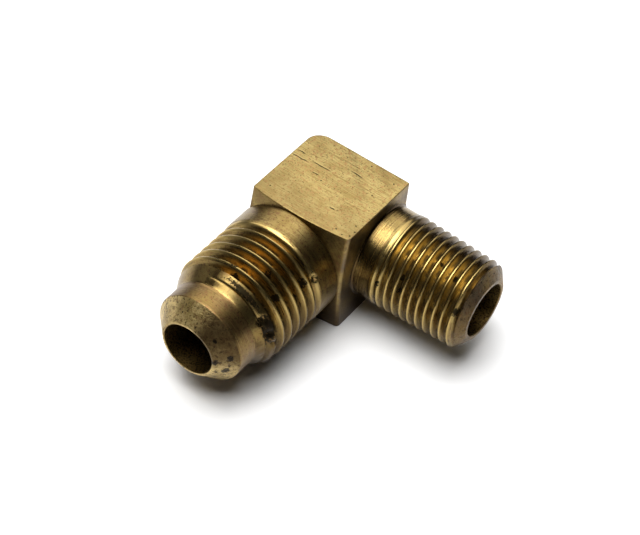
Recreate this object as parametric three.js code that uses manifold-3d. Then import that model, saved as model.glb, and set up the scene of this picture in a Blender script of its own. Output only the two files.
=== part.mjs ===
// A one-piece brass elbow that joins a flared copper tube to a tapped pipe port.
// The body is a block of extruded bar. A flare arm leaves its front face along -Y and ends in a
// 45 degree nose, and a taper pipe arm leaves its right face along +X. Both arms are threaded, and
// their bores meet inside the block.
//
// Millimetres, +Z up. The origin is on the block's underside, straight below the point where the two
// arms' axes cross. A station is a distance from that crossing point, measured along an arm.

import * as THREE from 'three';
import { mergeVertices } from 'three/addons/utils/BufferGeometryUtils.js';
import Module from 'manifold-3d';

const INCH = 25.4;
const SIXTY_DEGREE_FLANK = Math.tan(Math.PI / 3);
const DRILL_POINT_HALF_ANGLE = (59 * Math.PI) / 180;
const RING_SEGMENTS = 32;
const RINGS_PER_PITCH = 6;
const FILLET_STEPS = 4;

// The block: the distances of its four sides from the crossing point, and its rounded corners.
const BLOCK = {
  height: 13.2,
  left: 5.15,
  right: 6.65,
  front: 7.25,
  back: 4.05,
  heelRadius: 1.8,
  frontCornerRadius: 0.4,
  sideCornerRadius: 0.15,
};
const AXIS_HEIGHT = BLOCK.height / 2;

// The front face is turned on the flare arm's axis: flat near the arm, then sloping gently back.
const SHOULDER = {
  flatRadius: 6.1,
  slope: 0.21,
  outerRadius: 14,
};

// The flare arm: 45 degree flare for 5/16 inch tube, with a 1/2-20 UNF thread.
const FLARE_PITCH = INCH / 20;
const FLARE = {
  collarRadius: 6.38,
  collarBackRadius: 4.7,
  collarBackStation: 5.6,
  threadStart: 10.1,
  threadEnd: 16.95,
  neckStation: 19.1,
  neckRadius: 5.08,
  noseStation: 21.35,
  noseRadius: 5.08,
  tipStation: 23.25,
  tipRadius: 3.18,
  boreRadius: 2.94,
  boreEnd: 0.0,
};
const FLARE_THREAD = {
  pitch: FLARE_PITCH,
  crestRadius: 6.32,
  depth: 0.68 * FLARE_PITCH,
  crestFlat: FLARE_PITCH / 8,
  taper: 0,
  start: FLARE.threadStart,
  end: FLARE.neckStation,
  runOut: 1.1,
  crestStation: 12.2,
  crestTurn: 0.25,
};

// The pipe arm: 1/8-27 NPT. Its thread tapers 1 in 32 on the radius, towards the open end.
const PIPE_PITCH = INCH / 27;
const PIPE = {
  collarRadius: 5.1,
  collarBackRadius: 3.8,
  collarBackStation: 5.3,
  rootFillet: 0.25,
  threadStart: 8.6,
  fullCrestStation: 9.1,
  chamferStation: 18.45,
  endStation: 19.55,
  endRadius: 3.45,
  boreRadius: 3.0,
  boreEnd: -0.4,
};
const PIPE_THREAD = {
  pitch: PIPE_PITCH,
  crestRadius: 4.89,
  depth: 0.76 * PIPE_PITCH,
  crestFlat: 0.06 * PIPE_PITCH,
  taper: 1 / 32,
  start: PIPE.threadStart,
  end: PIPE.endStation,
  runOut: 2.2,
  crestStation: 10.29,
  crestTurn: -0.145,
};

const wasm = await Module();
wasm.setup();

// A closed three.js geometry as a solid. Triangles that closed up at a pole are left out.
function toSolid(geometry) {
  const bare = geometry.clone();
  bare.deleteAttribute('normal');
  bare.deleteAttribute('uv');
  const merged = mergeVertices(bare);
  const triVerts = [];
  for (let i = 0; i < merged.index.count; i += 3) {
    const [a, b, c] = [0, 1, 2].map((corner) => merged.index.getX(i + corner));
    if (a !== b && b !== c && c !== a) {
      triVerts.push(a, b, c);
    }
  }
  const mesh = new wasm.Mesh({
    numProp: 3,
    vertProperties: new Float32Array(merged.attributes.position.array),
    triVerts: new Uint32Array(triVerts),
  });
  return new wasm.Manifold(mesh);
}

function toGeometry(solid) {
  const mesh = solid.getMesh();
  const geometry = new THREE.BufferGeometry();
  geometry.setAttribute('position', new THREE.BufferAttribute(mesh.vertProperties, 3));
  geometry.setIndex(new THREE.BufferAttribute(mesh.triVerts, 1));
  geometry.computeVertexNormals();
  return geometry;
}

// Turned geometry has its axis on +Y. The flare arm's axis is -Y and the pipe arm's is +X, both at
// the height of the crossing point.
function alongFlareAxis(geometry) {
  return geometry.rotateX(Math.PI).translate(0, 0, AXIS_HEIGHT);
}

function alongPipeAxis(geometry) {
  return geometry.rotateZ(-Math.PI / 2).translate(0, 0, AXIS_HEIGHT);
}

function turned(profile) {
  const points = profile.map(([radius, station]) => new THREE.Vector2(radius, station));
  return new THREE.LatheGeometry(points, RING_SEGMENTS);
}

function threadCrest(thread, station) {
  return thread.crestRadius + (thread.end - station) * thread.taper;
}

// The radius of a right-hand thread at a station and an angle about the arm. The groove's depth
// grows from nothing over the run-out.
function threadRadius(thread, station, angle) {
  const turn = angle / (2 * Math.PI) - thread.crestTurn;
  const pitches = (station - thread.crestStation) / thread.pitch - turn;
  const offCrest = Math.abs(pitches - Math.round(pitches)) * thread.pitch;
  const flank = (offCrest - thread.crestFlat / 2) * SIXTY_DEGREE_FLANK;
  const groove = THREE.MathUtils.clamp(flank, 0, thread.depth);
  const fade = THREE.MathUtils.smoothstep(station, thread.start, thread.start + thread.runOut);
  return threadCrest(thread, station) - groove * fade;
}

// Cuts a thread into a turned arm by moving its vertices in towards the axis.
function cutThread(geometry, thread) {
  const position = geometry.attributes.position;
  for (let i = 0; i < position.count; i += 1) {
    const [x, station, z] = [position.getX(i), position.getY(i), position.getZ(i)];
    const radius = Math.hypot(x, z);
    if (station > thread.start && station < thread.end && radius > 0) {
      const cut = Math.min(1, threadRadius(thread, station, Math.atan2(x, z)) / radius);
      position.setXYZ(i, x * cut, station, z * cut);
    }
  }
  return geometry;
}

// Evenly spaced stations between two others, close enough to show every crest and root.
function threadStations(thread, from, to) {
  const count = Math.ceil(((to - from) / thread.pitch) * RINGS_PER_PITCH);
  return Array.from({ length: count + 1 }, (_, i) => from + ((to - from) * i) / count);
}

function mix(from, to, share) {
  return from + (to - from) * share;
}

// Rings on a straight taper between two [radius, station] corners, spaced for the thread.
function threadedTaper(thread, [fromRadius, from], [toRadius, to]) {
  return threadStations(thread, from, to).map((station) => [
    mix(fromRadius, toRadius, (station - from) / (to - from)),
    station,
  ]);
}

// The block, with a round heel at the back left and small breaks on its other upright corners.
function blockOutline() {
  const { left, right, front, back } = BLOCK;
  const corners = [
    [-left, -front, BLOCK.sideCornerRadius],
    [right, -front, BLOCK.frontCornerRadius],
    [right, back, BLOCK.sideCornerRadius],
    [-left, back, BLOCK.heelRadius],
  ];
  const outline = new THREE.Shape();
  corners.forEach(([x, y, radius], i) => {
    const start = -Math.PI + (i * Math.PI) / 2;
    const centreX = x - Math.sign(x) * radius;
    const centreY = y - Math.sign(y) * radius;
    outline.absarc(centreX, centreY, radius, start, start + Math.PI / 2);
  });
  return outline;
}

function blockSolid() {
  const bar = new THREE.ExtrudeGeometry(blockOutline(), {
    depth: BLOCK.height,
    bevelEnabled: false,
    curveSegments: FILLET_STEPS,
  });
  const reach = SHOULDER.outerRadius;
  const shoulder = turned([
    [0, -reach],
    [reach, -reach],
    [reach, BLOCK.front - (reach - SHOULDER.flatRadius) * SHOULDER.slope],
    [SHOULDER.flatRadius, BLOCK.front],
    [0, BLOCK.front],
  ]);
  return toSolid(bar).intersect(toSolid(alongFlareAxis(shoulder)));
}

function flareArm() {
  const profile = [
    [0, FLARE.collarBackStation],
    [FLARE.collarBackRadius, FLARE.collarBackStation],
    [FLARE.collarRadius, BLOCK.front],
    ...threadedTaper(
      FLARE_THREAD,
      [FLARE.collarRadius, FLARE.threadStart],
      [FLARE.collarRadius, FLARE.threadEnd],
    ),
    ...threadedTaper(
      FLARE_THREAD,
      [FLARE_THREAD.crestRadius, FLARE.threadEnd],
      [FLARE.neckRadius, FLARE.neckStation],
    ).slice(1),
    [FLARE.noseRadius, FLARE.noseStation],
    [FLARE.tipRadius, FLARE.tipStation],
    [0, FLARE.tipStation],
  ];
  return toSolid(alongFlareAxis(cutThread(turned(profile), FLARE_THREAD)));
}

function pipeArm() {
  const chamferRadius = threadCrest(PIPE_THREAD, PIPE.chamferStation);
  const profile = [
    [0, PIPE.collarBackStation],
    [PIPE.collarBackRadius, PIPE.collarBackStation],
    [PIPE.collarRadius, BLOCK.right - PIPE.rootFillet],
    [PIPE.collarRadius, PIPE.threadStart],
    ...threadedTaper(
      PIPE_THREAD,
      [threadCrest(PIPE_THREAD, PIPE.fullCrestStation), PIPE.fullCrestStation],
      [chamferRadius, PIPE.chamferStation],
    ),
    ...threadedTaper(
      PIPE_THREAD,
      [chamferRadius, PIPE.chamferStation],
      [PIPE.endRadius, PIPE.endStation],
    ).slice(1),
    [0, PIPE.endStation],
  ];
  return toSolid(alongPipeAxis(cutThread(turned(profile), PIPE_THREAD)));
}

// The concave fillet where the pipe arm meets the right face, kept within the block's outline.
function pipeRootFillet() {
  const size = PIPE.rootFillet;
  const arc = Array.from({ length: FILLET_STEPS + 1 }, (_, i) => {
    const angle = (i / FILLET_STEPS) * (Math.PI / 2);
    return [
      PIPE.collarRadius + size * (1 - Math.sin(angle)),
      BLOCK.right + size * (1 - Math.cos(angle)),
    ];
  });
  const ring = turned([
    [0, BLOCK.right - size],
    [PIPE.collarRadius + size, BLOCK.right - size],
    ...arc,
    [0, BLOCK.right + size],
  ]);
  const room = new THREE.BoxGeometry(
    BLOCK.right,
    BLOCK.front + BLOCK.back,
    BLOCK.height,
  ).translate(BLOCK.right, (BLOCK.back - BLOCK.front) / 2, AXIS_HEIGHT);
  return toSolid(alongPipeAxis(ring)).intersect(toSolid(room));
}

// A drilled hole from beyond an arm's mouth to its drill point.
function drilled(radius, mouth, end) {
  return turned([
    [0, end - radius / Math.tan(DRILL_POINT_HALF_ANGLE)],
    [radius, end],
    [radius, mouth + radius],
    [0, mouth + radius],
  ]);
}

function elbowBody() {
  const flareBore = drilled(FLARE.boreRadius, FLARE.tipStation, FLARE.boreEnd);
  const pipeBore = drilled(PIPE.boreRadius, PIPE.endStation, PIPE.boreEnd);
  const solid = blockSolid()
    .add(flareArm())
    .add(pipeArm())
    .add(pipeRootFillet())
    .subtract(toSolid(alongFlareAxis(flareBore)))
    .subtract(toSolid(alongPipeAxis(pipeBore)));
  const brass = new THREE.MeshStandardMaterial({
    color: 0xb9a06a,
    roughness: 0.38,
    metalness: 1.0,
  });
  const mesh = new THREE.Mesh(toGeometry(solid), brass);
  mesh.name = 'elbow_body';
  return mesh;
}

const fitting = new THREE.Group();
fitting.add(elbowBody());

export default fitting;
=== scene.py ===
"""Looks of a one-piece brass flare elbow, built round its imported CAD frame.

Metres, in the CAD frame: +X along the pipe arm, -Y along the flare arm, +Z up. A station is a
distance from the point where the two arms' axes cross, measured along an arm.
"""

import math
import random
from dataclasses import dataclass

import bpy
from mathutils import Matrix, Vector, noise


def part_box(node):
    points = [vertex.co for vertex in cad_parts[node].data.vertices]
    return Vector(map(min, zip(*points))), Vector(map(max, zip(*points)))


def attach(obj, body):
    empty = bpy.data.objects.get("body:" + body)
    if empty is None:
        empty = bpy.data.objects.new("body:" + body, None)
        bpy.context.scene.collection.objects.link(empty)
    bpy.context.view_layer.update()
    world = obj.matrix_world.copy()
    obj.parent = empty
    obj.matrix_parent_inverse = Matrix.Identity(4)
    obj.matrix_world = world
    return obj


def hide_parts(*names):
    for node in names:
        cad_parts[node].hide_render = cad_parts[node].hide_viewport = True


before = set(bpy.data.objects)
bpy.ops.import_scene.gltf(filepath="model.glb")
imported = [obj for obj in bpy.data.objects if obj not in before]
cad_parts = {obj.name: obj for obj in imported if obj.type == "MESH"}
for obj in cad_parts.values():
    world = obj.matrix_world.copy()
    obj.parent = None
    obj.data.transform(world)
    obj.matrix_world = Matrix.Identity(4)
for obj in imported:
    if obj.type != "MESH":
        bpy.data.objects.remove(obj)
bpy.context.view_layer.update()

MM = 0.001
INCH = 25.4 * MM
FULL_TURN = 2 * math.pi
AROUND = 192
CORNER_STEPS = 6
FLANK_SLOPE = math.tan(math.radians(60))
DRILL_POINT_HALF_ANGLE = math.radians(59)
DENT_SEED = 11
RING_GAP = 0.02 * MM
SHARPEST_SMOOTH_ANGLE = math.radians(32)

BODY_LOW, BODY_HIGH = (Vector(corner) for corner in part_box("elbow_body"))
AXIS_HEIGHT = (BODY_LOW.z + BODY_HIGH.z) / 2
CROSSING = Vector((0, 0, AXIS_HEIGHT))

# The block's four sides, as distances from the crossing point, and its corners.
BLOCK_LEFT = 5.15 * MM
BLOCK_RIGHT = 6.65 * MM
BLOCK_FRONT = 7.25 * MM
BLOCK_BACK = 4.05 * MM
HEEL_RADIUS = 1.8 * MM
FRONT_CORNER_RADIUS = 0.4 * MM
SIDE_CORNER_RADIUS = 0.15 * MM
EDGE_BREAK = 0.09 * MM
SHOULDER_FLAT_RADIUS = 6.1 * MM
SHOULDER_SLOPE = 0.21

# The flare arm.
FLARE_COLLAR_RADIUS = -BODY_LOW.x
FLARE_COLLAR_BACK = 5.6 * MM
FLARE_COLLAR_BACK_RADIUS = 4.7 * MM
FLARE_COLLAR_END = 10.0 * MM
FLARE_FULL_CREST = 10.6 * MM
FLARE_TIP = -BODY_LOW.y
FLARE_PITCH = INCH / 20
FLARE_CREST_RADIUS = 6.32 * MM
FLARE_THREAD_START = 10.1 * MM
FLARE_THREAD_END = 16.95 * MM
FLARE_NECK = 19.1 * MM
FLARE_NECK_RADIUS = 5.08 * MM
FLARE_NOSE = 21.35 * MM
FLARE_NOSE_RADIUS = 5.08 * MM
FLARE_TIP_RADIUS = 3.18 * MM
FLARE_BORE_RADIUS = 2.94 * MM
FLARE_BORE_END = 0
FLARE_COUNTERSINK = 0.05 * MM
# The stations between which the flare arm's rows follow its thread.
FLARE_HELIX_START = 9.4 * MM
FLARE_HELIX_END = 21.2 * MM

# The pipe arm.
PIPE_COLLAR_RADIUS = 5.1 * MM
PIPE_COLLAR_BACK = 5.3 * MM
PIPE_COLLAR_BACK_RADIUS = 3.8 * MM
PIPE_END = BODY_HIGH.x
PIPE_PITCH = INCH / 27
PIPE_TAPER = 1 / 32
PIPE_CREST_RADIUS = 4.89 * MM
PIPE_THREAD_START = 8.6 * MM
PIPE_FULL_CREST = 9.1 * MM
PIPE_CHAMFER = 18.45 * MM
PIPE_END_RADIUS = 3.45 * MM
PIPE_BORE_RADIUS = 3.0 * MM
PIPE_BORE_END = -0.4 * MM
PIPE_COUNTERSINK = 0.08 * MM
PIPE_ROOT_FILLET = 0.25 * MM
# The stations between which the pipe arm's rows follow its thread.
PIPE_HELIX_START = 7.6 * MM
PIPE_HELIX_END = PIPE_END - 0.12 * MM

SLOTS = (
    "sawn",
    "drawn",
    "shoulder",
    "flare_turned",
    "flare_thread",
    "nose",
    "seat",
    "pipe_turned",
    "pipe_thread",
    "pipe_end",
    "bore",
)


# ---------------------------------------------------------------------------- geometry helpers


class Arm:
    """An axis out of the crossing point, with the direction that its angles are measured from."""

    def __init__(self, axis, across):
        self.axis = Vector(axis)
        self.across = Vector(across)
        self.over = self.axis.cross(self.across)

    def point(self, radius, station, angle):
        spoke = self.across * math.cos(angle) + self.over * math.sin(angle)
        return CROSSING + self.axis * station + spoke * radius


FLARE_ARM = Arm(axis=(0, -1, 0), across=(1, 0, 0))
PIPE_ARM = Arm(axis=(1, 0, 0), across=(0, 1, 0))


@dataclass(frozen=True)
class Thread:
    """A right-hand screw thread, straight or tapered, whose groove deepens over its run-out.

    crest_radius is the radius over the crests at the thread's end, and crest_round is how rounded
    a crest's edges are, as a share of the depth. One crest passes through crest_station at
    crest_angle."""

    pitch: float
    crest_radius: float
    depth: float
    crest_flat: float
    crest_round: float
    taper: float
    start: float
    end: float
    run_out: float
    crest_station: float
    crest_angle: float

    def crest(self, station):
        return self.crest_radius + (self.end - station) * self.taper

    def radius(self, station, angle):
        turns = (angle - self.crest_angle) / FULL_TURN
        pitches = (station - self.crest_station) / self.pitch - turns
        off_crest = abs(pitches - round(pitches)) * self.pitch
        flank = (off_crest - self.crest_flat / 2) * FLANK_SLOPE
        groove = soft_clamp(flank, self.depth, self.crest_round)
        fade = smooth_share((station - self.start) / self.run_out)
        return self.crest(station) - groove * fade


FLARE_THREAD = Thread(
    pitch=FLARE_PITCH,
    crest_radius=FLARE_CREST_RADIUS,
    depth=0.68 * FLARE_PITCH,
    crest_flat=FLARE_PITCH / 7,
    crest_round=0.035,
    taper=0,
    start=FLARE_THREAD_START,
    end=FLARE_NECK,
    run_out=1.1 * MM,
    crest_station=12.26 * MM,
    crest_angle=0,
)
PIPE_THREAD = Thread(
    pitch=PIPE_PITCH,
    crest_radius=PIPE_CREST_RADIUS,
    depth=0.76 * PIPE_PITCH,
    crest_flat=0.14 * PIPE_PITCH,
    crest_round=0.09,
    taper=PIPE_TAPER,
    start=PIPE_THREAD_START,
    end=PIPE_END,
    run_out=2.2 * MM,
    crest_station=10.29 * MM,
    crest_angle=math.radians(38),
)
# Where the rows of one pitch lie, as shares of the pitch from one crest to the next.
ROWS_IN_PITCH = (
    *(0, 0.04, 0.06, 0.075, 0.1, 0.18, 0.28, 0.37, 0.43),
    *(0.5, 0.57, 0.63, 0.72, 0.82, 0.9, 0.925, 0.94, 0.96),
)


def smooth_share(share):
    share = min(1.0, max(0.0, share))
    return share * share * (3 - 2 * share)


def soft_clamp(value, most, round_share):
    """value held between 0 and most, with a round at 0 and a small one at most."""
    low_blend = round_share * most
    high_blend = 0.07 * most
    low = low_blend * math.log1p(math.exp(min(50, value / low_blend)))
    return most - high_blend * math.log1p(math.exp(min(50, (most - low) / high_blend)))


def soft_corners(corners):
    """Points of an outline through (radius, station, rounding) corners, each rounded by a short curve."""
    points = []
    for i, (radius, station, rounding) in enumerate(corners):
        here = Vector((radius, station))
        if rounding == 0:
            points.append(here)
            continue
        before = (Vector(corners[i - 1][:2]) - here).normalized() * rounding
        after = (Vector(corners[i + 1][:2]) - here).normalized() * rounding
        for step in range(CORNER_STEPS + 1):
            share = step / CORNER_STEPS
            points.append(here + before * (1 - share) ** 2 + after * share**2)
    return points


def outline_radius(points, station):
    """The radius of an outline at a station: linear between its points."""
    for low, high in zip(points, points[1:]):
        if low.y <= station <= high.y and high.y > low.y:
            return low.x + (high.x - low.x) * (station - low.y) / (high.y - low.y)
    return points[-1].x if station > points[-1].y else points[0].x


class MeshBuilder:
    """Collects vertices and faces, each face with its material slot."""

    def __init__(self):
        self.vertices = []
        self.faces = []
        self.materials = []

    def vertex(self, point):
        self.vertices.append(point)
        return len(self.vertices) - 1

    def face(self, corners, slot):
        distinct = list(dict.fromkeys(corners))
        if len(distinct) > 2:
            self.faces.append(distinct)
            self.materials.append(SLOTS.index(slot))

    def strip(self, low, high, slot):
        """Joins two closed rings of the same length; low is nearer the crossing point."""
        count = len(low)
        for i in range(count):
            j = (i + 1) % count
            self.face((low[i], low[j], high[j], high[i]), slot)

    def build(self, name):
        mesh = bpy.data.meshes.new(name)
        mesh.from_pydata(self.vertices, [], self.faces)
        for slot in SLOTS:
            mesh.materials.append(bpy.data.materials[f"{slot}_brass"])
        mesh.polygons.foreach_set("material_index", self.materials)
        mesh.update()
        piece = bpy.data.objects.new(name, mesh)
        bpy.context.scene.collection.objects.link(piece)
        return piece


def plain_ring(builder, arm, radius, station):
    if radius == 0:
        return [builder.vertex(arm.point(0, station, 0))] * AROUND
    return [builder.vertex(arm.point(radius, station, FULL_TURN * i / AROUND)) for i in range(AROUND)]


def turned_part(builder, arm, points, slot_at):
    """Rings through the points of an outline. slot_at gives the material slot at a station."""
    rings = [plain_ring(builder, arm, point.x, point.y) for point in points]
    for i in range(len(rings) - 1):
        middle = (points[i] + points[i + 1]) / 2
        builder.strip(rings[i], rings[i + 1], slot_at(middle.y))
    return rings


def helix_part(builder, arm, thread, low_ring, high_ring, start, end, radius_at, slot_at):
    """A grid between two plain rings whose rows follow the thread's helix.

    A column one full turn on meets the next pitch's row, so the rows run on as one helix. Where
    the helix passes a ring, the grid's corners are the ring's."""
    rows = len(ROWS_IN_PITCH)
    count = rows * math.ceil((end - start) / thread.pitch + 1)
    made = {}

    def corner(row, column):
        if column == AROUND:
            row, column = row + rows, 0
        whole, part = divmod(row, rows)
        station = start + thread.pitch * (whole - 1 + ROWS_IN_PITCH[part] + column / AROUND)
        if station < start + RING_GAP:
            return low_ring[column], start
        if station > end - RING_GAP:
            return high_ring[column], end
        if (row, column) not in made:
            angle = FULL_TURN * column / AROUND
            made[row, column] = builder.vertex(arm.point(radius_at(station, angle), station, angle))
        return made[row, column], station

    for column in range(AROUND):
        for row in range(count):
            corners = [
                corner(row, column),
                corner(row, column + 1),
                corner(row + 1, column + 1),
                corner(row + 1, column),
            ]
            middle = sum(station for _, station in corners) / 4
            builder.face([vertex for vertex, _ in corners], slot_at(middle))


# ---------------------------------------------------------------------------- the solids


def dings(seed, count, stations, depth, size):
    """Small dents, each as (station, angle, depth, size)."""
    draw = random.Random(seed)
    return [
        (
            draw.uniform(*stations),
            draw.uniform(0, FULL_TURN),
            draw.uniform(*depth),
            draw.uniform(*size),
        )
        for _ in range(count)
    ]


def dent_depth(dents, radius, station, angle):
    total = 0
    for at, turn, depth, size in dents:
        along = station - at
        if abs(along) < 3 * size:
            round_way = (angle - turn + math.pi) % FULL_TURN - math.pi
            reach = math.hypot(along, round_way * radius) / size
            total += depth * math.exp(-reach * reach)
    return total


def flare_arm():
    root = soft_corners(
        [
            (0, FLARE_COLLAR_BACK, 0),
            (FLARE_COLLAR_BACK_RADIUS, FLARE_COLLAR_BACK, 0),
            (FLARE_COLLAR_RADIUS, BLOCK_FRONT, 0),
            (FLARE_COLLAR_RADIUS, FLARE_HELIX_START, 0),
        ]
    )
    threaded = soft_corners(
        [
            (FLARE_COLLAR_RADIUS, FLARE_HELIX_START, 0),
            (FLARE_COLLAR_RADIUS, FLARE_COLLAR_END, 0.2 * MM),
            (FLARE_CREST_RADIUS, FLARE_FULL_CREST, 0.2 * MM),
            (FLARE_CREST_RADIUS, FLARE_THREAD_END, 0.1 * MM),
            (FLARE_NECK_RADIUS, FLARE_NECK, 0.3 * MM),
            (FLARE_NOSE_RADIUS, FLARE_NOSE, 0),
        ]
    )
    nose = soft_corners(
        [
            (outline_radius(threaded, FLARE_HELIX_END), FLARE_HELIX_END, 0),
            (FLARE_NOSE_RADIUS, FLARE_NOSE, 0.1 * MM),
            (FLARE_TIP_RADIUS, FLARE_TIP, 0.05 * MM),
            (0, FLARE_TIP, 0),
        ]
    )
    dents = dings(DENT_SEED, 60, (10.5 * MM, 18.5 * MM), (0.02 * MM, 0.06 * MM), (0.08 * MM, 0.2 * MM))
    # The larger dents, on the thread's last turns and on the edge of the collar.
    dents += [
        (17.9 * MM, math.radians(34), 0.45 * MM, 0.30 * MM),
        (17.6 * MM, math.radians(16), 0.40 * MM, 0.34 * MM),
        (17.4 * MM, math.radians(2), 0.30 * MM, 0.30 * MM),
        (10.17 * MM, math.radians(31), 0.45 * MM, 0.22 * MM),
    ]

    def radius_at(station, angle):
        radius = outline_radius(threaded, station)
        if station > FLARE_THREAD.start:
            radius = min(radius, FLARE_THREAD.radius(station, angle))
        return radius - dent_depth(dents, radius, station, angle)

    def slot_at(station):
        if station < FLARE_THREAD.start:
            return "flare_turned"
        if station < FLARE_NECK:
            return "flare_thread"
        return "nose" if station < FLARE_NOSE + 0.02 * MM else "seat"

    builder = MeshBuilder()
    low = turned_part(builder, FLARE_ARM, root, slot_at)[-1]
    high = turned_part(builder, FLARE_ARM, nose, slot_at)[0]
    span = (FLARE_HELIX_START, FLARE_HELIX_END)
    helix_part(builder, FLARE_ARM, FLARE_THREAD, low, high, *span, radius_at, slot_at)
    return builder.build("flare_arm")


def pipe_arm():
    root = soft_corners(
        [
            (0, PIPE_COLLAR_BACK, 0),
            (PIPE_COLLAR_BACK_RADIUS, PIPE_COLLAR_BACK, 0),
            (PIPE_COLLAR_RADIUS, BLOCK_RIGHT - PIPE_ROOT_FILLET, 0),
            (PIPE_COLLAR_RADIUS, PIPE_HELIX_START, 0),
        ]
    )
    threaded = soft_corners(
        [
            (PIPE_COLLAR_RADIUS, PIPE_HELIX_START, 0),
            (PIPE_COLLAR_RADIUS, PIPE_THREAD_START, 0.2 * MM),
            (PIPE_THREAD.crest(PIPE_FULL_CREST), PIPE_FULL_CREST, 0.2 * MM),
            (PIPE_THREAD.crest(PIPE_CHAMFER), PIPE_CHAMFER, 0.1 * MM),
            (PIPE_END_RADIUS, PIPE_END, 0),
        ]
    )
    mouth = soft_corners(
        [
            (outline_radius(threaded, PIPE_HELIX_END), PIPE_HELIX_END, 0),
            (PIPE_END_RADIUS, PIPE_END, 0.06 * MM),
            (0, PIPE_END, 0),
        ]
    )
    dents = dings(DENT_SEED + 1, 70, (9.0 * MM, 18.5 * MM), (0.02 * MM, 0.05 * MM), (0.07 * MM, 0.16 * MM))

    def radius_at(station, angle):
        radius = outline_radius(threaded, station)
        if station > PIPE_THREAD.start:
            radius = min(radius, PIPE_THREAD.radius(station, angle))
        return radius - dent_depth(dents, radius, station, angle)

    def slot_at(station):
        if station < PIPE_THREAD.start:
            return "pipe_turned"
        return "pipe_thread" if station < PIPE_CHAMFER + 0.1 * MM else "pipe_end"

    builder = MeshBuilder()
    low = turned_part(builder, PIPE_ARM, root, slot_at)[-1]
    high = turned_part(builder, PIPE_ARM, mouth, slot_at)[0]
    span = (PIPE_HELIX_START, PIPE_HELIX_END)
    helix_part(builder, PIPE_ARM, PIPE_THREAD, low, high, *span, radius_at, slot_at)
    return builder.build("pipe_arm")


def block_outline():
    """Plan points of the block, with each one's outward direction, counterclockwise
    from the front left corner."""
    corners = [
        (-BLOCK_LEFT, -BLOCK_FRONT, SIDE_CORNER_RADIUS),
        (BLOCK_RIGHT, -BLOCK_FRONT, FRONT_CORNER_RADIUS),
        (BLOCK_RIGHT, BLOCK_BACK, SIDE_CORNER_RADIUS),
        (-BLOCK_LEFT, BLOCK_BACK, HEEL_RADIUS),
    ]
    arc_steps = 10
    side_steps = 48
    arcs = []
    for i, (x, y, radius) in enumerate(corners):
        centre = Vector((x - math.copysign(radius, x), y - math.copysign(radius, y)))
        arc = []
        for step in range(arc_steps + 1):
            angle = -math.pi + (i + step / arc_steps) * math.pi / 2
            out = Vector((math.cos(angle), math.sin(angle)))
            arc.append((centre + out * radius, out))
        arcs.append(arc)
    points = []
    for i, arc in enumerate(arcs):
        points += arc
        start, out = arc[-1]
        end = arcs[(i + 1) % len(arcs)][0][0]
        points += [(start.lerp(end, step / side_steps), out) for step in range(1, side_steps)]
    return points


def shoulder_step(x, z):
    """How far the front face, turned on the flare arm's axis, lies behind its flat middle."""
    beyond = math.hypot(x, z - AXIS_HEIGHT) - SHOULDER_FLAT_RADIUS
    return max(0, beyond) * SHOULDER_SLOPE


def block_levels():
    """Heights of the block's rings with the inset of each, for softly broken top and bottom edges."""
    break_steps = 4
    middle_steps = 30
    edge = []
    for step in range(break_steps + 1):
        angle = step / break_steps * math.pi / 2
        edge.append((EDGE_BREAK * (1 - math.cos(angle)), EDGE_BREAK * (1 - math.sin(angle))))
    lower = [(BODY_LOW.z + rise, inset) for rise, inset in edge]
    upper = [(BODY_HIGH.z - rise, inset) for rise, inset in reversed(edge)]
    start, end = lower[-1][0], upper[0][0]
    middle = [(start + (end - start) * step / middle_steps, 0) for step in range(1, middle_steps)]
    return lower + middle + upper


def block():
    """The block, with worn top and bottom edges and the front sloping back from the flare arm."""
    outline = block_outline()
    builder = MeshBuilder()
    rings = []
    for z, inset in block_levels():
        ring = []
        for point, out in outline:
            wear = 1 + 0.7 * noise.noise(Vector((point.x, point.y, z)) * 900)
            x, y = point - out * inset * wear
            y += shoulder_step(x, z) * (BLOCK_BACK - y) / (BLOCK_BACK + BLOCK_FRONT)
            ring.append(builder.vertex(Vector((x, y, z))))
        rings.append(ring)
    count = len(outline)
    for low, high in zip(rings, rings[1:]):
        for i in range(count):
            j = (i + 1) % count
            slot = "shoulder" if outline[i][1].y < -0.9 else "drawn"
            builder.face((low[i], low[j], high[j], high[i]), slot)
    builder.face(list(reversed(rings[0])), "sawn")
    builder.face(rings[-1], "sawn")
    return builder.build("elbow")


def pipe_root_fillet():
    """The concave fillet of the pipe arm's root, kept within the block's plan."""
    size = PIPE_ROOT_FILLET
    steps = 10
    points = [Vector((0, BLOCK_RIGHT - size)), Vector((PIPE_COLLAR_RADIUS + size, BLOCK_RIGHT - size))]
    for step in range(steps + 1):
        angle = step / steps * math.pi / 2
        radius = PIPE_COLLAR_RADIUS - 0.01 * MM + size * (1 - math.sin(angle))
        points.append(Vector((radius, BLOCK_RIGHT + size * (1 - math.cos(angle)))))
    points.append(Vector((0, BLOCK_RIGHT + size)))
    builder = MeshBuilder()
    turned_part(builder, PIPE_ARM, points, lambda station: "pipe_turned")
    fillet = builder.build("fillet")
    room = box_solid(
        "room",
        Vector((0, -BLOCK_FRONT, BODY_LOW.z)),
        Vector((PIPE_END, BLOCK_BACK - 0.02 * MM, BODY_HIGH.z)),
    )
    combine(fillet, room, "INTERSECT")
    return fillet


def box_solid(name, low, high):
    builder = MeshBuilder()
    corners = [
        builder.vertex(Vector((x, y, z)))
        for z in (low.z, high.z)
        for x, y in ((low.x, low.y), (high.x, low.y), (high.x, high.y), (low.x, high.y))
    ]
    bottom, top = corners[:4], corners[4:]
    builder.strip(bottom, top, "drawn")
    builder.face(list(reversed(bottom)), "drawn")
    builder.face(top, "drawn")
    return builder.build(name)


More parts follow.
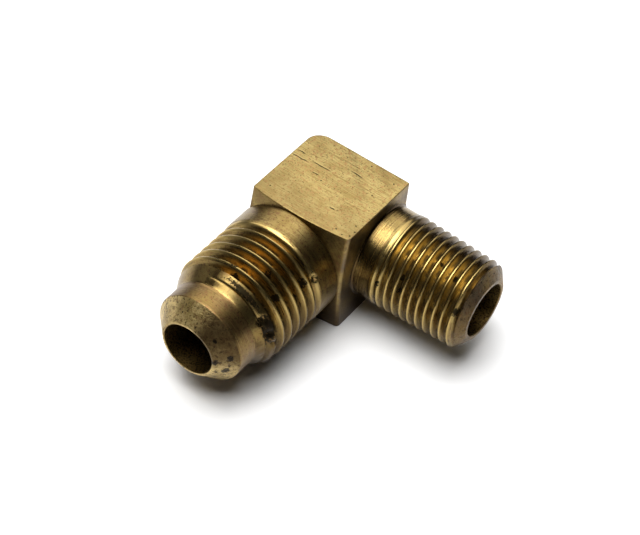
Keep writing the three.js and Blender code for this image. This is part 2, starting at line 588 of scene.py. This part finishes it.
def drilled_hole(arm, radius, mouth, end, countersink):
    """The material that a drill takes out of an arm, with a small break at the mouth."""
    builder = MeshBuilder()
    points = [
        Vector((0, end - radius / math.tan(DRILL_POINT_HALF_ANGLE))),
        Vector((radius, end)),
        Vector((radius, mouth - countersink)),
        Vector((radius + 2 * countersink, mouth + countersink)),
        Vector((radius + 2 * countersink, mouth + radius)),
        Vector((0, mouth + radius)),
    ]
    turned_part(builder, arm, points, lambda station: "bore")
    return builder.build("bore")


def combine(target, tool, operation):
    """Applies a boolean to target's mesh and removes the tool."""
    modifier = target.modifiers.new(operation, "BOOLEAN")
    modifier.operation = operation
    modifier.solver = "MANIFOLD"
    modifier.object = tool
    depsgraph = bpy.context.evaluated_depsgraph_get()
    mesh = bpy.data.meshes.new_from_object(target.evaluated_get(depsgraph))
    target.modifiers.clear()
    target.data = mesh
    bpy.data.objects.remove(tool)


def elbow_body():
    elbow = block()
    for part in (flare_arm(), pipe_arm(), pipe_root_fillet()):
        combine(elbow, part, "UNION")
    flare_bore = drilled_hole(
        FLARE_ARM, FLARE_BORE_RADIUS, FLARE_TIP, FLARE_BORE_END, FLARE_COUNTERSINK
    )
    pipe_bore = drilled_hole(
        PIPE_ARM, PIPE_BORE_RADIUS, PIPE_END, PIPE_BORE_END, PIPE_COUNTERSINK
    )
    for bore in (flare_bore, pipe_bore):
        combine(elbow, bore, "DIFFERENCE")
    elbow.name = "elbow_brass"
    elbow.data.name = "elbow_brass"
    for polygon in elbow.data.polygons:
        polygon.use_smooth = True
    elbow.data.set_sharp_from_angle(angle=SHARPEST_SMOOTH_ANGLE)
    return elbow


# ---------------------------------------------------------------------------- materials


class Graph:
    """The shader nodes of one brass material, with short names for the steps used here."""

    def __init__(self, name):
        self.material = bpy.data.materials.new(name)
        self.material.use_nodes = True
        self.nodes = self.material.node_tree.nodes
        self.links = self.material.node_tree.links
        self.shader = self.nodes["Principled BSDF"]
        self.shader.inputs["Metallic"].default_value = 1.0
        self.place = self.nodes.new("ShaderNodeTexCoord").outputs["Object"]

    def put(self, value, socket):
        if isinstance(value, bpy.types.NodeSocket):
            self.links.new(value, socket)
        elif isinstance(value, tuple) and len(value) == 3 and socket.type == "RGBA":
            socket.default_value = (*value, 1.0)
        else:
            socket.default_value = value

    def math(self, operation, a, b=0.0):
        node = self.nodes.new("ShaderNodeMath")
        node.operation = operation
        self.put(a, node.inputs[0])
        self.put(b, node.inputs[1])
        return node.outputs[0]

    def vector(self, x, y, z):
        node = self.nodes.new("ShaderNodeCombineXYZ")
        for value, socket in zip((x, y, z), node.inputs):
            self.put(value, socket)
        return node.outputs[0]

    def split(self, vector):
        node = self.nodes.new("ShaderNodeSeparateXYZ")
        self.put(vector, node.inputs[0])
        return node.outputs

    def noise(self, vector, scale, detail=3.0, roughness=0.55):
        node = self.nodes.new("ShaderNodeTexNoise")
        self.put(vector, node.inputs["Vector"])
        node.inputs["Scale"].default_value = scale
        node.inputs["Detail"].default_value = detail
        node.inputs["Roughness"].default_value = roughness
        return node.outputs[0]

    def share(self, value, low, high):
        """0 below low and 1 above high, smooth between; low may be the larger."""
        node = self.nodes.new("ShaderNodeMapRange")
        node.interpolation_type = "SMOOTHSTEP"
        self.put(value, node.inputs["Value"])
        node.inputs["From Min"].default_value = low
        node.inputs["From Max"].default_value = high
        return node.outputs["Result"]

    def between(self, share, low, high):
        """low where share is 0 and high where it is 1."""
        node = self.nodes.new("ShaderNodeMapRange")
        self.put(share, node.inputs["Value"])
        node.inputs["To Min"].default_value = low
        node.inputs["To Max"].default_value = high
        return node.outputs["Result"]

    def mix(self, share, a, b):
        node = self.nodes.new("ShaderNodeMix")
        node.data_type = "RGBA"
        self.put(share, node.inputs[0])
        self.put(a, node.inputs[6])
        self.put(b, node.inputs[7])
        return node.outputs[2]

    def bump(self, height, distance, normal=None):
        node = self.nodes.new("ShaderNodeBump")
        node.inputs["Distance"].default_value = distance
        self.put(height, node.inputs["Height"])
        if normal is not None:
            self.put(normal, node.inputs["Normal"])
        return node.outputs["Normal"]

    def stretched(self, along_x, along_y, along_z):
        """Object coordinates in millimetres, times one number for each direction."""
        x, y, z = self.split(self.place)
        return self.vector(
            self.math("MULTIPLY", x, along_x / MM),
            self.math("MULTIPLY", y, along_y / MM),
            self.math("MULTIPLY", z, along_z / MM),
        )

    def polar(self, arm):
        """Station and radius about an arm in millimetres, and the cosine and sine of the angle."""
        x, y, z = self.split(self.place)
        if arm is FLARE_ARM:
            station, across = self.math("MULTIPLY", y, -1 / MM), self.math("MULTIPLY", x, 1 / MM)
        else:
            station, across = self.math("MULTIPLY", x, 1 / MM), self.math("MULTIPLY", y, 1 / MM)
        over = self.math("MULTIPLY", self.math("SUBTRACT", z, AXIS_HEIGHT), 1 / MM)
        squares = [self.math("MULTIPLY", side, side) for side in (across, over)]
        radius = self.math("SQRT", self.math("ADD", *squares))
        return station, radius, self.math("DIVIDE", across, radius), self.math("DIVIDE", over, radius)

    def turning(self, polar, scale, length):
        """Fine lines left by a lathe. length is how much of a turn one line keeps going."""
        station, radius, cosine, sine = polar
        along = self.math("ADD", station, self.math("MULTIPLY", radius, 1.7))
        around = 1 / (length * scale)
        spoke = [self.math("MULTIPLY", part, around) for part in (cosine, sine)]
        return self.noise(self.vector(along, *spoke), scale, 3, 0.6)

    def near(self, value, middle, reach):
        """1 about middle, fading to 0 at a distance of reach on either side."""
        off = self.math("ABSOLUTE", self.math("SUBTRACT", value, middle))
        return self.share(off, reach, 0.35 * reach)

    def facing(self, polar, degrees):
        """The cosine of the angle from a direction about an arm."""
        _, _, cosine, sine = polar
        turn = math.radians(degrees)
        across = self.math("MULTIPLY", cosine, math.cos(turn))
        over = self.math("MULTIPLY", sine, math.sin(turn))
        return self.math("ADD", across, over)

    def toward(self, polar, degrees, low, high):
        """0 to 1 as the cosine of the angle from a direction about an arm goes from low to high."""
        return self.share(self.facing(polar, degrees), low, high)

    def phase(self, polar, thread):
        """How far past a crest a point lies, as a share of the pitch."""
        station, _, cosine, sine = polar
        turns = self.math("DIVIDE", self.math("ARCTAN2", sine, cosine), FULL_TURN)
        beyond = self.math("SUBTRACT", station, thread.crest_station / MM)
        crests = self.math("DIVIDE", beyond, thread.pitch / MM)
        offset = thread.crest_angle / FULL_TURN
        return self.math("FRACT", self.math("ADD", self.math("SUBTRACT", crests, turns), offset + 40))

    def smudge(self, point, size, ragged):
        """A ragged spot about a point, 1 inside. size is in millimetres."""
        off = self.nodes.new("ShaderNodeVectorMath")
        off.operation = "DISTANCE"
        self.put(self.place, off.inputs[0])
        off.inputs[1].default_value = point
        distance = self.math("DIVIDE", off.outputs["Value"], MM)
        warped = self.math("ADD", distance, self.math("MULTIPLY", ragged, size))
        return self.share(warped, 2.05 * size, 1.85 * size)

    def cover(self, color, share, amount, paint):
        """color with paint laid over it, where share says, as thickly as amount says."""
        return self.mix(self.math("MULTIPLY", share, amount), color, paint)

    def finish(self, color, roughness, normal):
        self.put(color, self.shader.inputs["Base Color"])
        self.put(roughness, self.shader.inputs["Roughness"])
        self.put(normal, self.shader.inputs["Normal"])


SAWN = (0.355, 0.272, 0.103)
SAWN_SPECK = (0.285, 0.160, 0.062)
BRIGHT = (0.430, 0.320, 0.130)
PALE = (0.265, 0.190, 0.066)
WARM = (0.205, 0.135, 0.042)
DULL = (0.105, 0.069, 0.025)
PINK = (0.150, 0.070, 0.032)
# The next two: thread flank tarnish colours, shown only as a painted glow of reflected light on one side.
AMBER_TARNISH_AND_GLOW = (0.330, 0.190, 0.040)
GOLD_TARNISH_AND_GLOW = (0.470, 0.340, 0.120)
CREST = (0.420, 0.300, 0.105)
BROWN = (0.040, 0.021, 0.008)
NOSE = (0.170, 0.108, 0.042)
SEAT = (0.560, 0.420, 0.175)
GREY = (0.120, 0.092, 0.056)
# Near black: dirt, pits and scratches, and also painted shade beside the thread crests.
GRIME_AND_SHADE = (0.005, 0.004, 0.003)

# Scratches across both sawn faces: start x, end x and y in millimetres.
SCRATCHES = (
    (-5.1, -3.0, -0.42),
    (-2.8, -0.5, 0.02),
    (-4.9, -3.9, 0.40),
    (-1.9, -1.0, -1.20),
    (1.2, 2.6, 1.45),
    (2.4, 3.1, -4.10),
)
# Small dark pits in the sawn top: x and y in millimetres.
TOP_PITS = (
    (-0.43, -1.65),
    (4.74, 0.04),
    (6.30, -6.04),
    (6.40, -5.32),
    (5.60, -6.35),
    (5.10, -6.80),
    (6.00, -4.50),
    (4.70, -6.10),
    (5.50, 2.80),
    (2.30, 3.40),
    (-3.90, -5.60),
)
# Caked dirt: station in millimetres, angle in degrees, then half its length along the arm in
# millimetres and half its spread round the arm in degrees.
FLARE_DIRT = (
    (17.65, 21, 0.62, 17),
    (17.78, 66, 0.26, 20),
    (16.99, 84, 0.24, 4.5),
    (16.28, 91, 0.20, 4),
    (15.30, 42, 0.20, 4),
    (14.34, 63, 0.30, 4.5),
    (13.00, 26, 0.20, 4),
    (11.56, 33, 0.30, 5),
    (10.17, 31, 0.22, 3),
)
SEAT_DIRT = ((23.10, 7, 0.22, 6), (22.04, 11, 0.20, 5), (22.60, 45, 0.12, 4), (22.30, -14, 0.30, 6))
PIPE_DIRT = (
    (18.40, 149, 0.26, 6),
    (16.55, 114, 0.20, 4),
    (14.57, 107, 0.14, 3),
    (12.10, 164, 0.26, 5),
    (11.82, 146, 0.16, 4),
    (9.60, 168, 0.20, 5),
)


def mottled(graph, light, dark, specks, speck_color=PINK):
    """Brass with soft clouds of tarnish, reddish specks and fewer brown ones."""
    even = graph.stretched(1, 1, 1)
    clouds = graph.share(graph.noise(even, 0.45, 4), 0.35, 0.7)
    color = graph.mix(clouds, light, dark)
    pink = graph.share(graph.noise(even, 3.2, 3, 0.7), 0.50, 0.62)
    color = graph.cover(color, pink, specks, speck_color)
    brown = graph.share(graph.noise(even, 4.4, 3, 0.7), 0.57, 0.66)
    return graph.cover(color, brown, specks, BROWN)


def caked(graph, polar, spots):
    """1 inside any of some ragged patches of dirt."""
    station = polar[0]
    ragged = graph.math("MULTIPLY", graph.noise(graph.stretched(1, 1, 1), 3.2, 5, 0.8), 7.0)
    dirt = 0.0
    for at, degrees, half_length, half_spread in spots:
        spread = math.radians(half_spread)
        along = graph.math("DIVIDE", graph.math("SUBTRACT", station, at), half_length)
        off_centre = graph.math("SUBTRACT", 1.0, graph.facing(polar, degrees))
        around = graph.math("MULTIPLY", off_centre, 2 / spread**2)
        reach = graph.math("ADD", graph.math("MULTIPLY", along, along), around)
        dirt = graph.math("MAXIMUM", dirt, graph.share(graph.math("ADD", reach, ragged), 4.75, 4.35))
    return dirt


def scratched(graph, color):
    """color crossed by dark scratches, each with a painted highlight along its lip."""
    x, y, _ = graph.split(graph.stretched(1, 1, 1))
    wander = graph.noise(graph.stretched(1.5, 1.5, 1.5), 1.0, 2)
    bent_y = graph.math("ADD", y, graph.math("MULTIPLY", wander, 0.25))
    for start, end, at in SCRATCHES:
        reach = graph.near(x, (start + end) / 2, (end - start) * 0.62)
        dark = graph.math("MULTIPLY", reach, graph.near(bent_y, at + 0.12, 0.09))
        # The bright line beside each scratch is a painted highlight on its lip.
        light = graph.math("MULTIPLY", reach, graph.near(bent_y, at + 0.27, 0.07))
        color = graph.cover(color, dark, 0.92, GRIME_AND_SHADE)
        color = graph.cover(color, light, 0.6, BRIGHT)
    return color


def top_pitted(graph, color):
    """color with small dark pits where they lie in the top face."""
    ragged = graph.math("MULTIPLY", graph.noise(graph.stretched(1, 1, 1), 6.0, 2), 2.0)
    for x, y in TOP_PITS:
        pit = graph.smudge((x * MM, y * MM, BODY_HIGH.z), 0.10, ragged)
        color = graph.cover(color, pit, 0.9, GRIME_AND_SHADE)
    return color


def sawn_brass():
    """The block's top and underside, grained along X and darker towards the front."""
    graph = Graph("sawn_brass")
    fine = graph.noise(graph.stretched(0.45, 6.5, 6.5), 1.0, 4, 0.65)
    broad = graph.noise(graph.stretched(0.12, 2.2, 2.2), 1.0, 3)
    color = mottled(graph, SAWN, PALE, 0.85, SAWN_SPECK)
    color = graph.cover(color, graph.share(fine, 0.49, 0.33), 0.7, WARM)
    color = graph.cover(color, graph.share(fine, 0.56, 0.70), 0.45, BRIGHT)
    _, y, _ = graph.split(graph.stretched(1, 1, 1))
    color = graph.cover(color, graph.share(y, -1.0, -6.5), 0.45, DULL)
    color = top_pitted(graph, scratched(graph, color))
    roughness = graph.between(graph.math("MULTIPLY", fine, broad), 0.34, 0.60)
    normal = graph.bump(fine, 0.03 * MM)
    normal = graph.bump(broad, 0.03 * MM, normal)
    graph.finish(color, roughness, normal)


def drawn_brass():
    """The block's sides, lined upwards, with painted shade darkening them towards the bottom."""
    graph = Graph("drawn_brass")
    fine = graph.noise(graph.stretched(9, 9, 0.25), 1.0, 4, 0.6)
    color = mottled(graph, PALE, GREY, 0.5)
    stains = graph.share(graph.noise(graph.stretched(1, 1, 0.5), 0.8, 4), 0.50, 0.72)
    color = graph.cover(color, stains, 0.35, DULL)
    _, _, z = graph.split(graph.stretched(1, 1, 1))
    # Painted shade: darker towards the bottom, near the floor.
    color = graph.cover(color, graph.share(z, 6.0, 0.5), 0.8, BROWN)
    normal = graph.bump(fine, 0.02 * MM)
    graph.finish(color, graph.between(fine, 0.28, 0.5), normal)


def turned_brass(name, arm, light, dark, specks, lowest_roughness, root):
    """Lathe-turned brass, with painted shade darkening the corner at the station root."""
    graph = Graph(name)
    polar = graph.polar(arm)
    lines = graph.turning(polar, 7.0, 0.5)
    color = mottled(graph, light, dark, specks)
    color = graph.cover(color, graph.share(lines, 0.50, 0.32), 0.6, DULL)
    color = graph.cover(color, graph.share(lines, 0.58, 0.70), 0.35, BRIGHT)
    dirt = graph.share(graph.noise(graph.stretched(1, 1, 1), 1.3, 5, 0.7), 0.60, 0.72)
    color = graph.cover(color, dirt, 0.55, BROWN)
    # Painted shade in the concave corner where the arm meets the block.
    color = graph.cover(color, graph.share(polar[0], root / MM + 0.75, root / MM), 0.85, BROWN)
    rough = graph.math("ADD", graph.math("MULTIPLY", lines, 0.7), dirt)
    roughness = graph.between(rough, lowest_roughness, 0.45)
    normal = graph.bump(lines, 0.02 * MM)
    graph.finish(color, roughness, normal)


def shoulder_brass():
    """The block's turned front, with painted shade darkening it towards the bottom."""
    graph = Graph("shoulder_brass")
    lines = graph.turning(graph.polar(FLARE_ARM), 6.0, 0.5)
    color = mottled(graph, PALE, DULL, 0.5)
    color = graph.cover(color, graph.share(lines, 0.50, 0.34), 0.5, DULL)
    _, _, z = graph.split(graph.stretched(1, 1, 1))
    # Painted shade: darker towards the bottom.
    color = graph.cover(color, graph.share(z, 10.5, 5.0), 0.75, BROWN)
    normal = graph.bump(lines, 0.02 * MM)
    graph.finish(color, graph.between(lines, 0.22, 0.42), normal)


def depth_share(graph, polar, thread):
    """How far below the crests a point lies, as a share of the thread's depth."""
    station, radius, _, _ = polar
    taper = graph.math("MULTIPLY", graph.math("SUBTRACT", thread.end / MM, station), thread.taper)
    crest = graph.math("ADD", taper, thread.crest_radius / MM)
    return graph.math("DIVIDE", graph.math("SUBTRACT", crest, radius), thread.depth / MM)


def painted_glow_flanks(graph, polar, below, wear, side):
    """1 on the flanks towards one side of the arm, where a painted glow of reflected light goes, and a
    little less where wear is high.
    """
    flank = graph.math("MULTIPLY", graph.toward(polar, side, 0.62, 0.92), graph.share(below, 0.15, 0.45))
    return graph.math("MULTIPLY", flank, graph.between(graph.share(wear, 0.35, 0.6), 1.0, 0.75))


def groove_grime(graph, below, wear):
    """1 in the roots of the grooves where dirt has stayed."""
    return graph.math("MULTIPLY", graph.share(wear, 0.38, 0.58), graph.share(below, 0.48, 0.88))


def threaded_brass(
    name, arm, thread, painted_glow, painted_glow_side, shaded_side, groove_end, grime_and_shade_amount, dirt_spots
):
    """Thread with bright crests, flanks towards one side coloured with tarnish and a painted glow
    of reflected light, a painted shade line with some grime beside each crest, painted shade
    towards another side, and dirt in the grooves.

    The sides are angles about the arm in degrees. groove_end is the station where the grooves stop
    holding dirt, painted shade lines and painted glow."""
    graph = Graph(name)
    polar = graph.polar(arm)
    below = depth_share(graph, polar, thread)
    lines = graph.turning(polar, 8.0, 0.5)
    wear = graph.noise(graph.stretched(1, 1, 1), 1.1, 4, 0.65)
    grooved = graph.share(polar[0], groove_end / MM + 0.3, groove_end / MM - 0.3)

    # Painted glow: reflected light, tinted like the flanks' tarnish, laid on the flanks towards one side
    # of the arm.
    painted_glow_share = graph.math("MULTIPLY", painted_glow_flanks(graph, polar, below, wear, painted_glow_side), grooved)
    color = graph.mix(painted_glow_share, mottled(graph, PALE, WARM, 0.5), painted_glow)
    color = graph.cover(color, graph.share(lines, 0.48, 0.34), 0.6, BROWN)
    worn_crest = graph.math("MULTIPLY", graph.share(below, 0.20, 0.06), graph.share(wear, 0.22, 0.42))
    color = graph.cover(color, worn_crest, 0.9, CREST)
    # Painted shade, with some grime: a thin dark line on the block-facing flank beside each crest.
    shade_and_grime_line = graph.math("MULTIPLY", graph.near(graph.phase(polar, thread), 0.86, 0.08), grooved)
    color = graph.cover(color, shade_and_grime_line, grime_and_shade_amount, GRIME_AND_SHADE)
    # Painted shade: the arm darkened towards one side.
    color = graph.cover(color, graph.toward(polar, shaded_side, 0.35, 0.85), 0.7, BROWN)

    grime = graph.math("MULTIPLY", groove_grime(graph, below, wear), grooved)
    grime = graph.math("MULTIPLY", grime, grime_and_shade_amount)
    grime = graph.math("MAXIMUM", grime, caked(graph, polar, dirt_spots))
    color = graph.cover(color, grime, 0.93, GRIME_AND_SHADE)
    rough = graph.math("ADD", graph.math("MULTIPLY", lines, 0.6), grime)
    graph.finish(color, graph.between(rough, 0.20, 0.5), graph.bump(lines, 0.02 * MM))


def pitted_brass(name, arm, light, dark, shaded_side, shade_amount, dirt_spots):
    """Tarnished brass eaten by small dark pits, with painted shade towards one side of its arm."""
    graph = Graph(name)
    polar = graph.polar(arm)
    color = mottled(graph, light, dark, 0.55)
    pits = graph.noise(graph.stretched(1, 1, 1), 2.6, 4, 0.75)
    deep = graph.share(pits, 0.45, 0.38)
    color = graph.cover(color, deep, 0.85, GRIME_AND_SHADE)
    # Painted shade: darker towards one side of the arm.
    color = graph.cover(color, graph.toward(polar, shaded_side, 0.55, 0.95), shade_amount, BROWN)
    color = graph.cover(color, caked(graph, polar, dirt_spots), 0.9, GRIME_AND_SHADE)
    normal = graph.bump(pits, 0.09 * MM)
    graph.finish(color, graph.between(pits, 0.55, 0.25), normal)


def bore_brass():
    """The drilled walls of both bores, dark and blotched."""
    graph = Graph("bore_brass")
    rough = graph.noise(graph.stretched(1, 1, 1), 5.0, 4, 0.6)
    color = graph.mix(graph.share(rough, 0.42, 0.66), WARM, BROWN)
    normal = graph.bump(rough, 0.03 * MM)
    graph.finish(color, graph.between(rough, 0.35, 0.55), normal)


def flare_brass():
    turned_brass(
        "flare_turned_brass",
        FLARE_ARM,
        light=PALE,
        dark=WARM,
        specks=0.7,
        lowest_roughness=0.26,
        root=BLOCK_FRONT - 0.4 * MM,
    )
    threaded_brass(
        "flare_thread_brass",
        FLARE_ARM,
        FLARE_THREAD,
        painted_glow=AMBER_TARNISH_AND_GLOW,
        painted_glow_side=60,
        shaded_side=-40,
        groove_end=FLARE_THREAD_END + 0.3 * MM,
        grime_and_shade_amount=0.9,
        dirt_spots=FLARE_DIRT,
    )
    turned_brass(
        "nose_brass",
        FLARE_ARM,
        light=NOSE,
        dark=WARM,
        specks=0.7,
        lowest_roughness=0.33,
        root=FLARE_NECK - 0.5 * MM,
    )
    pitted_brass(
        "seat_brass",
        FLARE_ARM,
        light=SEAT,
        dark=PALE,
        shaded_side=38,
        shade_amount=0.85,
        dirt_spots=SEAT_DIRT,
    )


def pipe_brass():
    turned_brass(
        "pipe_turned_brass",
        PIPE_ARM,
        light=PALE,
        dark=WARM,
        specks=0.4,
        lowest_roughness=0.14,
        root=BLOCK_RIGHT,
    )
    threaded_brass(
        "pipe_thread_brass",
        PIPE_ARM,
        PIPE_THREAD,
        painted_glow=GOLD_TARNISH_AND_GLOW,
        painted_glow_side=118,
        shaded_side=30,
        groove_end=PIPE_CHAMFER,
        grime_and_shade_amount=0.7,
        dirt_spots=PIPE_DIRT,
    )
    pitted_brass(
        "pipe_end_brass",
        PIPE_ARM,
        light=WARM,
        dark=GREY,
        shaded_side=150,
        shade_amount=0.5,
        dirt_spots=(),
    )


def brass_materials():
    """One material for each of SLOTS."""
    sawn_brass()
    drawn_brass()
    shoulder_brass()
    flare_brass()
    pipe_brass()
    bore_brass()


# ---------------------------------------------------------------------------- the setting


def floor():
    half = 1.2
    corners = [(x, y, BODY_LOW.z) for x, y in ((-half, -half), (half, -half), (half, half), (-half, half))]
    mesh = bpy.data.meshes.new("floor")
    mesh.from_pydata(corners, [], [(0, 1, 2, 3)])
    sheet = bpy.data.objects.new("floor", mesh)
    bpy.context.scene.collection.objects.link(sheet)
    material = bpy.data.materials.new("white_paper")
    material.use_nodes = True
    shader = material.node_tree.nodes["Principled BSDF"]
    shader.inputs["Base Color"].default_value = (0.93, 0.93, 0.93, 1)
    shader.inputs["Roughness"].default_value = 0.9
    shader.inputs["Specular IOR Level"].default_value = 0.1
    mesh.materials.append(material)


CAMERA_AZIMUTH = math.radians(31.23)
CAMERA_ELEVATION = math.radians(47.46)
CAMERA_ROLL = math.radians(7.03)
CAMERA_DISTANCE = 195.52 * MM
CAMERA_LENS = 105.36
CAMERA_SIDE = -0.889 * MM
CAMERA_RISE = -5.114 * MM


def camera_axes():
    """Right, up and back of the camera before it is rolled."""
    back = Vector(
        (
            math.sin(CAMERA_AZIMUTH) * math.cos(CAMERA_ELEVATION),
            -math.cos(CAMERA_AZIMUTH) * math.cos(CAMERA_ELEVATION),
            math.sin(CAMERA_ELEVATION),
        )
    )
    right = Vector((math.cos(CAMERA_AZIMUTH), math.sin(CAMERA_AZIMUTH), 0))
    return right, back.cross(right), back


def camera():
    right, up, back = camera_axes()
    turned_right = right * math.cos(CAMERA_ROLL) + up * math.sin(CAMERA_ROLL)
    turned_up = up * math.cos(CAMERA_ROLL) - right * math.sin(CAMERA_ROLL)
    data = bpy.data.cameras.new("camera")
    data.lens = CAMERA_LENS
    data.sensor_width = 36
    data.clip_start = 0.01
    data.clip_end = 10
    view = bpy.data.objects.new("camera", data)
    bpy.context.scene.collection.objects.link(view)
    place = CROSSING + back * CAMERA_DISTANCE + turned_right * CAMERA_SIDE + turned_up * CAMERA_RISE
    view.matrix_world = matrix_of(turned_right, turned_up, back, place)
    bpy.context.scene.camera = view


def matrix_of(x_axis, y_axis, z_axis, place):
    rows = [[x_axis[i], y_axis[i], z_axis[i], place[i]] for i in range(3)]
    return Matrix(rows + [[0, 0, 0, 1]])


def soft_panel(name, offset, width, depth, radiance):
    """A rectangular light turned to face the crossing point. offset is how far it lies to
    the right of that point, away from the camera, and up. Its power follows from its radiance."""
    sideways, away, height = offset
    right, _, back = camera_axes()
    ahead = Vector((-back.x, -back.y, 0)).normalized()
    place = CROSSING + right * sideways + ahead * away + Vector((0, 0, height))
    data = bpy.data.lights.new(name, "AREA")
    data.shape = "RECTANGLE"
    data.size = width
    data.size_y = depth
    data.energy = radiance * math.pi * width * depth
    panel = bpy.data.objects.new(name, data)
    bpy.context.scene.collection.objects.link(panel)
    z_axis = (place - CROSSING).normalized()
    x_axis = (right - z_axis * right.dot(z_axis)).normalized()
    panel.matrix_world = matrix_of(x_axis, z_axis.cross(x_axis), z_axis, place)


def lights():
    """One soft panel overhead, a weaker one behind, and a dim one on the left."""
    soft_panel("key", (-0.05, -0.015, 0.32), width=0.26, depth=0.26, radiance=7.5)
    soft_panel("back", (-0.03, 0.24, 0.26), width=0.50, depth=0.26, radiance=2.4)
    soft_panel("left_wall", (-0.50, 0.05, 0.12), width=0.40, depth=0.25, radiance=0.35)


def studio_air():
    """A nearly black surrounding, and colours shown as they are lit."""
    world = bpy.data.worlds.new("studio")
    world.use_nodes = True
    world.node_tree.nodes["Background"].inputs["Color"].default_value = (0.02, 0.02, 0.02, 1)
    bpy.context.scene.world = world
    bpy.context.scene.view_settings.view_transform = "Standard"


brass_materials()
body = elbow_body()
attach(body, "root")
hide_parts("elbow_body")
floor()
camera()
lights()
studio_air()
